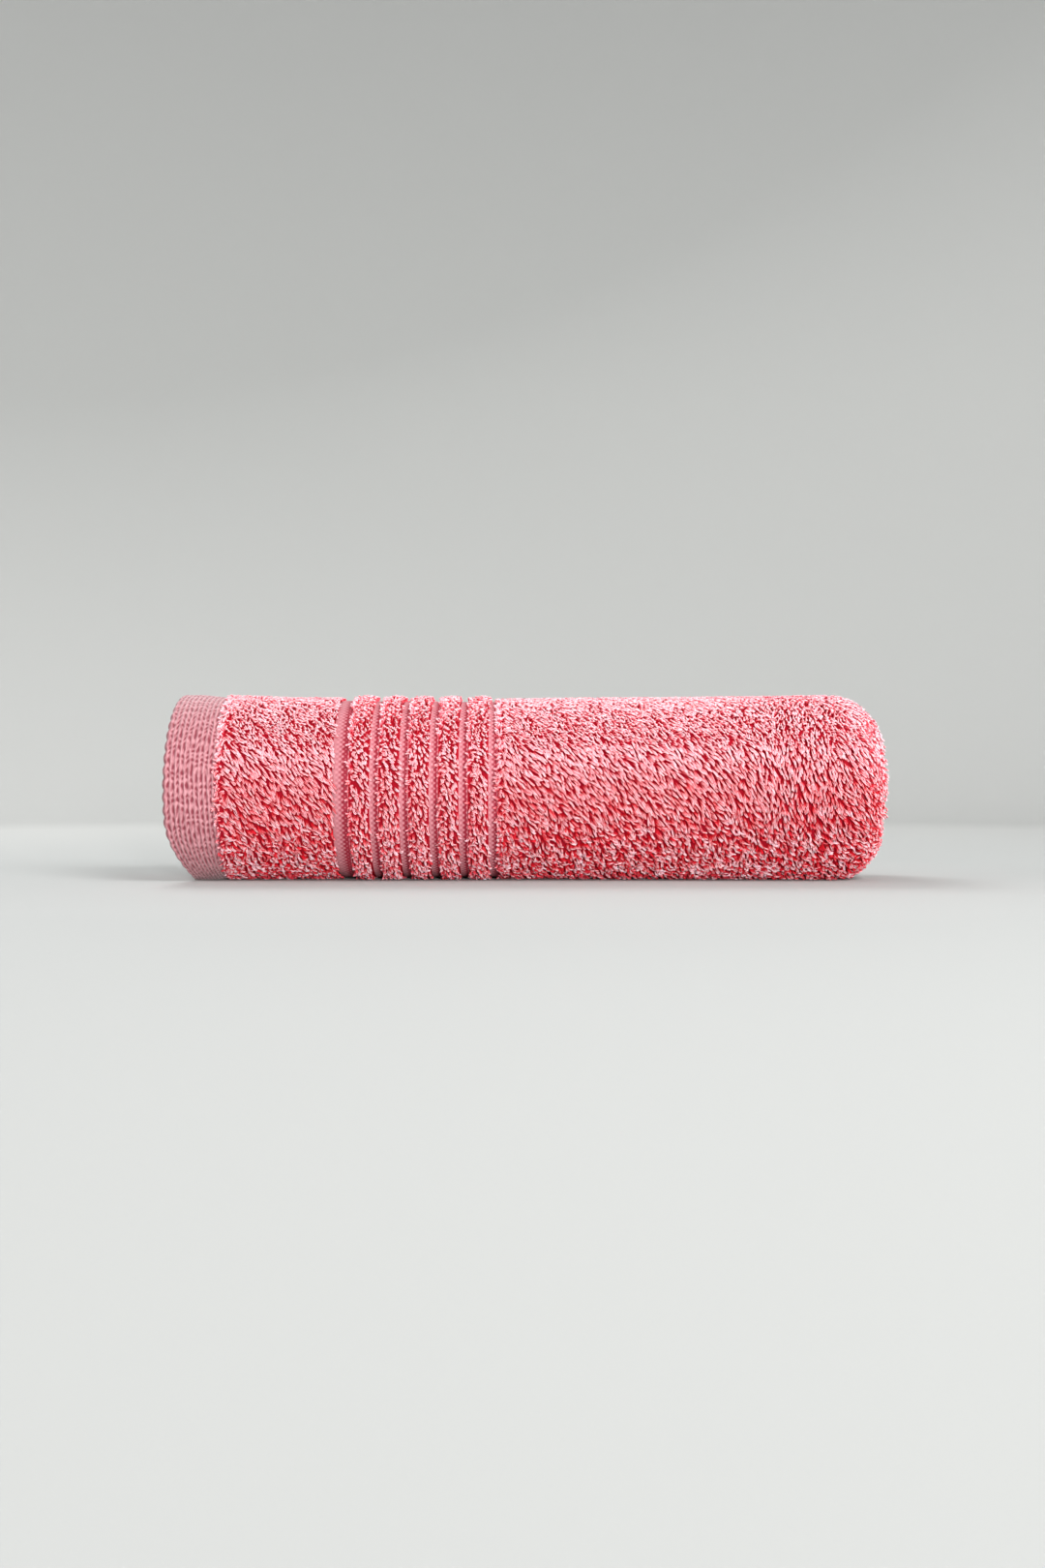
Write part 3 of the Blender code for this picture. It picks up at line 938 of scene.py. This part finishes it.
def frames_at(phi, surface):
    """Roots and the directions across, around and out of the cloth, by small steps."""
    step = 0.08 * MM
    turn = 0.002
    roots = surface(phi, 0.0)
    along = unit(surface(phi, step) - surface(phi, -step))
    around = unit(surface(phi + turn, 0.0) - surface(phi - turn, 0.0))
    normal = unit(np.cross(along, around))
    return roots, along, around, normal


def share_kept(phi):
    """Loops are sparser where the roll stands on them, behind, and low on the front."""
    theta = LOOSE_END_ANGLE - phi
    fall = -elevation_of(theta)
    below = ramp(fall, math.radians(55), math.radians(75))
    behind = ramp(np.cos(theta), 0.1, 0.6) * (1 - below)
    in_front = ramp(-np.cos(theta), 0.1, 0.4)
    low = ramp(fall, 0.0, math.radians(40)) * in_front
    return 1 - 0.5 * below - 0.15 * behind - 0.1 * low * (1 - below)


def field_loops(seed, x_from, x_to, depth_at, tips_at, reach_scale=1.0, pitch=LOOP_PITCH):
    """Loops of the outer turn between two places along the roll."""
    random = np.random.default_rng(seed)
    outer_length = float(winding_length(math.tau))
    x, s = scattered(random, x_to - x_from, outer_length, pitch)
    x = x + x_from
    phi = winding_angle(s)
    kept = random.uniform(0, 1, len(x)) < end_squeeze(x) * share_kept(phi)
    x, s, phi = x[kept], s[kept], phi[kept]

    def surface(angle, across):
        here = x + across
        return place(angle, here, depth_at(here), surface_wave(angle, here))

    frames = frames_at(phi, surface)
    return make_loops(random, phi, x, s, frames, depth_at(x) - tips_at(x), reach_scale)


def edge_loops(seed, edge):
    """A denser row along the left edge of a terry field."""
    return field_loops(seed, edge - EDGE_OVERHANG, edge + 0.9 * EDGE_BAND, root_depth,
                       tip_depth, 1.0, EDGE_LOOP_PITCH)


def curve_loops(seed, curve, span, phi_from, phi_to, height, lifted):
    """Loops on a fold, whose section curve is given as (x, depth) points."""
    random = np.random.default_rng(seed)
    xs, depths = curve
    run = np.concatenate([[0.0], np.cumsum(np.hypot(np.diff(xs), np.diff(depths)))])
    start, end = span[0] * run[-1], span[1] * run[-1]
    s_from, s_to = winding_length(np.array([phi_from, phi_to]))
    u, s = scattered(random, end - start, s_to - s_from, FOLD_LOOP_PITCH)
    u = u + start
    s = s + s_from
    phi = winding_angle(s)
    x = np.interp(u, run, xs)
    kept = random.uniform(0, 1, len(x)) < end_squeeze(x)
    u, s, phi, x = u[kept], s[kept], phi[kept], x[kept]

    def surface(angle, across):
        here = np.interp(u + across, run, xs)
        depth = np.interp(u + across, run, depths)
        lift = shown_lift(angle, here, depth) if lifted else 0.0
        return place(angle, here, depth, lift)

    frames = frames_at(phi, surface)
    return make_loops(random, phi, x, s, frames, np.full(len(x), height), FOLD_REACH)


def under_rib(x):
    return np.full(len(x), UNDER_RIB_DEPTH)


def rib_sets():
    """Loops of the five ribs, with a denser row along the left edge of each."""
    sets = []
    for rib, middle in enumerate(RIB_MIDDLES):
        left = middle - RIB_HALF + RIB_LEFT_INSET
        sets.append(field_loops(
            40 + rib, left, middle + RIB_HALF - RIB_RIGHT_INSET, under_rib,
            lambda x, c=middle: RIB_TOP_DEPTH + RIB_FALL * np.abs((x - c) / RIB_HALF) ** 3,
            RIB_REACH, RIB_LOOP_PITCH))
        sets.append(field_loops(
            60 + rib, left, middle - RIB_HALF + 0.8 * EDGE_BAND, under_rib,
            lambda x: np.full(len(x), RIB_EDGE_DEPTH), RIB_REACH, EDGE_LOOP_PITCH))
    return sets


def build_all_pile(material):
    """The pieces of the pile, by where they lie on the cloth."""
    start = BORDER_END + FIELD_GAP
    stop = RIGHT_END - SHOULDER
    first_cut, second_cut = (start + cut * (stop - start) for cut in RIGHT_FIELD_CUTS)
    outer_fold = fold_curve(60)
    turned = np.radians(np.arange(0, 181, 6))
    back_fold = back_fold_curve(turned, BACK_FOLD_RADIUS - BACK_FOLD_PILE)
    last = WINDING_END - HIDDEN_CORE
    parts = {
        "pile_left_field": [
            field_loops(21, HEM_LINE + HEM_GAP, GROOVES_START - FIELD_GAP, root_depth,
                        tip_depth),
            edge_loops(22, HEM_LINE),
        ],
        "pile_ribs": rib_sets(),
        "pile_right_field_1": [
            field_loops(31, start, first_cut, root_depth, tip_depth),
            edge_loops(37, start),
        ],
        "pile_right_field_2": [field_loops(32, first_cut, second_cut, root_depth, tip_depth)],
        "pile_right_field_3": [
            field_loops(33, second_cut, stop, root_depth, tip_depth),
            curve_loops(34, outer_fold, (0.0, 0.72), 0.0, math.tau, PILE, True),
        ],
        "pile_right_fold": [
            curve_loops(35, outer_fold, (0.22, 0.74), math.tau, last, PILE, False),
        ],
        "pile_left_fold": [
            curve_loops(36, back_fold, (0.15, 0.85), 0.0, last, BACK_FOLD_PILE, False),
        ],
    }
    return [build_pile(name, sets, material) for name, sets in parts.items()]


def node_material(name, colour, roughness):
    """A material with its node tree and its shader."""
    material = bpy.data.materials.new(name)
    material.use_nodes = True
    tree = material.node_tree
    shader = tree.nodes["Principled BSDF"]
    shader.inputs["Base Color"].default_value = (*colour, 1.0)
    shader.inputs["Roughness"].default_value = roughness
    material.diffuse_color = (*colour, 1.0)
    return material, tree, shader


def add_node(tree, kind, values=(), **settings):
    """A node with its settings, and with numbers or links for its sockets."""
    node = tree.nodes.new("ShaderNode" + kind)
    for key, value in settings.items():
        setattr(node, key, value)
    for socket, value in dict(values).items():
        if isinstance(value, bpy.types.NodeSocket):
            tree.links.new(value, node.inputs[socket])
        else:
            node.inputs[socket].default_value = value
    return node


def maths(tree, operation, first, second=0.0, third=0.0):
    node = add_node(tree, "Math", {0: first, 1: second, 2: third}, operation=operation)
    return node.outputs[0]


def line(tree, value, slope, start):
    """The value times the slope, plus the start."""
    return maths(tree, "MULTIPLY_ADD", value, slope, start)


def limited(tree, value):
    """The value, kept between 0 and 1."""
    return maths(tree, "MINIMUM", maths(tree, "MAXIMUM", value, 0.0), 1.0)


def mix_colour(tree, factor, first, second):
    node = add_node(tree, "Mix", data_type="RGBA")
    for socket, value in ((0, factor), (6, first), (7, second)):
        if isinstance(value, bpy.types.NodeSocket):
            tree.links.new(value, node.inputs[socket])
        elif socket:
            node.inputs[socket].default_value = (*value, 1.0)
        else:
            node.inputs[socket].default_value = value
    return node.outputs[2]


def attribute(tree, name, output="Fac"):
    return add_node(tree, "Attribute", attribute_name=name).outputs[output]


def object_place(tree):
    return add_node(tree, "TexCoord").outputs["Object"]


def split(tree, vector):
    """The three numbers of a vector."""
    return add_node(tree, "SeparateXYZ", {0: vector}).outputs


def noise(tree, vector, scale, detail):
    values = {"Vector": vector, "Scale": scale, "Detail": detail}
    return add_node(tree, "TexNoise", values).outputs["Fac"]


def weave_noise(tree, weave, scales, detail):
    """Noise over the weave, with a scale of its own across and along."""
    across, along = (maths(tree, "MULTIPLY", part, scale)
                     for part, scale in zip(weave, scales))
    node = add_node(tree, "CombineXYZ", {0: across, 1: along})
    return noise(tree, node.outputs[0], 1.0, detail)


def wave_of(tree, value, length):
    """A sine wave of that length, from 0 to 1."""
    angle = line(tree, value, math.tau / length, 0.0)
    return line(tree, maths(tree, "SINE", angle), 0.5, 0.5)


def set_looks(tree, shader, colour, specular):
    """The colour and the gloss of a weave."""
    tree.links.new(colour, shader.inputs["Base Color"])
    shader.inputs["Specular IOR Level"].default_value = specular


def add_bump(tree, shader, height, strength, distance):
    values = {"Height": height, "Strength": strength, "Distance": distance}
    bump = add_node(tree, "Bump", values)
    tree.links.new(bump.outputs[0], shader.inputs["Normal"])


def pile_material():
    """Twisted cotton yarn, with painted shade deep at its root, painted light in the gaps and a
    painted highlight where its tips catch the light.
    """
    material, tree, shader = node_material("terry_yarn", YARN_COLOUR, 0.62)
    rise, tone_and_painted_light, lit = (attribute(tree, name) for name in ("rise", "tone_and_painted_light", "lit"))
    # Painted shade deep in the pile, from the dark root colour up to the yarn's own colour
    low = mix_colour(tree, maths(tree, "POWER", rise, 2.0), ROOT_SHADE_COLOUR, YARN_COLOUR)
    # Painted light in the gaps between the loops
    low = mix_colour(tree, lit, low, LIT_GAP_COLOUR)
    # Painted highlight on the upper part of each loop
    high = limited(tree, line(tree, rise, 2.6, line(tree, tone_and_painted_light, 1.2, -2.1)))
    colour = mix_colour(tree, high, low, TIP_HIGHLIGHT_COLOUR)
    # Fine fibre grain, for the bump and for pale flecks on the painted highlight
    fibres = noise(tree, object_place(tree), 2600.0, 2.0)
    pale = maths(tree, "MULTIPLY", maths(tree, "MULTIPLY", fibres, high), 0.12)
    colour = mix_colour(tree, pale, colour, FIBRE_COLOUR)
    set_looks(tree, shader, colour, 0.06)
    shader.inputs["Subsurface Weight"].default_value = 0.5
    shader.inputs["Subsurface Radius"].default_value = (1.0, 0.3, 0.25)
    shader.inputs["Subsurface Scale"].default_value = 0.8 * MM
    add_bump(tree, shader, fibres, 0.35, 0.1 * MM)
    return material


def ground_material():
    """The woven ground between the loops, coloured with painted shade of the loops, and paler
    round both folds where less shade is painted.
    """
    material, tree, shader = node_material("terry_ground", ROOT_SHADE_COLOUR, 0.9)
    grain = noise(tree, object_place(tree), 900.0, 2.0)
    # Painted shade of the loops, with a fine random grain
    colour = mix_colour(tree, grain, GROUND_DEEP_SHADE_COLOUR, GROUND_SHADE_COLOUR)
    across = split(tree, attribute(tree, "weave", "Vector"))["X"]
    right_end = STRIP_LENGTH / MM - GROUND_ENDS
    right = line(tree, across, 0.12, -0.12 * right_end)
    left = line(tree, across, -0.25, 0.25 * GROUND_ENDS)
    ends = limited(tree, maths(tree, "MAXIMUM", right, left))
    # Less painted shade round both folds
    colour = mix_colour(tree, ends, colour, FOLD_GROUND_COLOUR)
    set_looks(tree, shader, colour, 0.05)
    return material


def hem_material():
    """Fine ridges of short slanted stitches, with painted shade in the slots between them, in
    bands along the scallops, beside the edge and beside the terry.
    """
    material, tree, shader = node_material("hem_weave", HEM_COLOUR, 0.8)
    across, along, _ = split(tree, attribute(tree, "weave", "Vector"))
    pitch = RIDGE_PITCH / MM
    from_valley = maths(tree, "ADD", across, RIDGE_SHIFT * pitch)
    slant = maths(tree, "PINGPONG", from_valley, pitch / 2)
    crest = maths(tree, "DIVIDE", slant, pitch / 2)
    valley = maths(tree, "POWER", maths(tree, "SUBTRACT", 1.0, crest), 1.2)
    scatter = weave_noise(tree, (across, along), (0.3, 0.12), 0.0)
    slanted = line(tree, scatter, DASH_SCATTER, line(tree, slant, DASH_SLANT, along))
    dashes = line(tree, wave_of(tree, slanted, DASH_PITCH), 1.2, 0.2)
    # Painted shade in the slots along the valleys between the ridges
    dark = maths(tree, "MULTIPLY", dashes, valley)
    dark = line(tree, weave_noise(tree, (across, along), (1.1, 0.38), 1.0), 1.7, dark)
    # Painted shade in bands that follow the scallops
    dark = line(tree, wave_of(tree, along, SCALLOP_PITCH / MM), 0.22, dark)
    # Painted shade beside the edge, and a painted shadow of the terry beside it
    hem_end = (HEM_WIDTH - EDGE_ROUNDING) / MM
    for edge, slope, start, share in ((0.0, -0.6, 0.7, 0.6), (hem_end, -1.0, 0.9, 0.9)):
        away = maths(tree, "ABSOLUTE", maths(tree, "SUBTRACT", across, edge))
        beside = maths(tree, "MAXIMUM", line(tree, away, slope, start), 0.0)
        dark = line(tree, beside, share, dark)
    dark = limited(tree, maths(tree, "SUBTRACT", dark, 0.86))
    set_looks(tree, shader, mix_colour(tree, dark, HEM_YARN_COLOUR, HEM_SLOT_SHADE_COLOUR), 0.2)
    shader.inputs["Sheen Weight"].default_value = 0.25
    add_bump(tree, shader, line(tree, dark, -1.0, crest), 0.7, 0.25 * MM)
    return material


def groove_material():
    """Flat weave with small staggered dots, and a painted shadow of the next rib that makes it
    darker towards the right of each groove.
    """
    material, tree, shader = node_material("flat_weave", GROOVE_COLOUR, 0.8)
    across, along, groove_place = split(tree, attribute(tree, "weave", "Vector"))
    waves = [maths(tree, "SINE", maths(tree, "MULTIPLY", part, math.tau / DOT_PITCH))
             for part in (across, along)]
    dots = line(tree, maths(tree, "MULTIPLY", *waves), 0.5, 0.5)
    # Painted shadow of the next rib: dots and weave darker towards the right of the groove
    shade = maths(tree, "MULTIPLY", line(tree, groove_place, 1.1, 0.45), dots)
    shade = line(tree, maths(tree, "POWER", groove_place, 2.0), 0.8, shade)
    shade = maths(tree, "MINIMUM", shade, 1.0)
    set_looks(tree, shader, mix_colour(tree, shade, GROOVE_YARN_COLOUR, GROOVE_DOT_AND_SHADOW_COLOUR), 0.2)
    add_bump(tree, shader, dots, 0.6, 0.2 * MM)
    return material


def stage_material():
    """Pale grey, with painted shade a little deeper under the roll and well in front of it,
    where the lamps light the floor most.
    """
    material, tree, shader = node_material("pale_stage", STAGE_COLOUR, 0.9)
    spot = object_place(tree)
    away = add_node(tree, "VectorMath", {0: spot}, operation="LENGTH").outputs["Value"]
    share = limited(tree, line(tree, away, 1.7, -0.45))
    colour = mix_colour(tree, share, STAGE_MIDDLE_SHADE_COLOUR, STAGE_OUTER_COLOUR)
    in_front = limited(tree, line(tree, split(tree, spot)["Y"], -1.6, -0.3))
    colour = mix_colour(tree, in_front, colour, STAGE_FRONT_SHADE_COLOUR)
    tree.links.new(colour, shader.inputs["Base Color"])
    return material


def build_stage():
    """A round floor that curves up into a wall on all sides."""
    profile = [(STAGE_MIDDLE, 0.0), (STAGE_RADIUS - STAGE_CURVE, 0.0)]
    for degrees in range(6, 91, 6):
        turned = math.radians(degrees)
        profile.append((STAGE_RADIUS - STAGE_CURVE * (1 - math.sin(turned)),
                        STAGE_CURVE * (1 - math.cos(turned))))
    profile.append((STAGE_RADIUS, STAGE_HEIGHT))
    radius, height = np.array(profile).T
    angles = np.arange(STAGE_SIDES)[:, None] / STAGE_SIDES * math.tau
    points = np.broadcast_arrays(np.cos(angles) * radius, np.sin(angles) * radius, height)
    grid = np.arange(STAGE_SIDES * len(radius)).reshape(STAGE_SIDES, len(radius))
    disc = grid[:, 0][None]
    faces = [grid_quads(np.vstack([grid, grid[:1]])), disc]
    data = new_mesh("studio_floor", np.stack(points, -1).reshape(-1, 3), faces)
    return add_object("studio_floor", data, stage_material())


def look_rotation(direction):
    """Turns that point an object's -Z along a direction."""
    x, y, z = direction
    return (math.atan2(math.hypot(x, y), -z), 0.0, math.atan2(-x, y))


def add_lights():
    for name, light_place, target, size, power in LIGHTS:
        lamp = bpy.data.lights.new(name, "AREA")
        lamp.shape = "DISK"
        lamp.size = size
        lamp.energy = power
        light = link_object(name, lamp)
        light.location = light_place
        light.rotation_euler = look_rotation(np.array(target) - np.array(light_place))
    world = bpy.data.worlds.new("soft_room")
    world.use_nodes = True
    background = world.node_tree.nodes["Background"]
    background.inputs["Color"].default_value = (*ROOM_COLOUR, 1.0)
    background.inputs["Strength"].default_value = ROOM_STRENGTH
    bpy.context.scene.world = world


def add_camera():
    data = bpy.data.cameras.new("photo_camera")
    data.sensor_fit = "VERTICAL"
    data.sensor_height = SENSOR_HEIGHT
    data.lens = FOCAL_PIXELS / IMAGE_HEIGHT * SENSOR_HEIGHT
    data.clip_start = 0.01
    data.clip_end = 20.0
    camera = link_object("photo_camera", data)
    camera.location = CAMERA_PLACE
    camera.rotation_euler = (math.radians(90), 0.0, 0.0)
    bpy.context.scene.camera = camera


def set_colours():
    view = bpy.context.scene.view_settings
    view.view_transform = "Standard"
    view.look = "None"
    view.exposure = 0.0
    view.gamma = 1.0


def main():
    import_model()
    set_colours()
    add_camera()
    add_lights()
    build_stage()
    cloth = build_cloth(ground_material(), hem_material(), groove_material())
    pile = build_all_pile(pile_material())
    for piece in [cloth] + pile:
        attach(piece, BODY)
        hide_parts(NODE)


main()
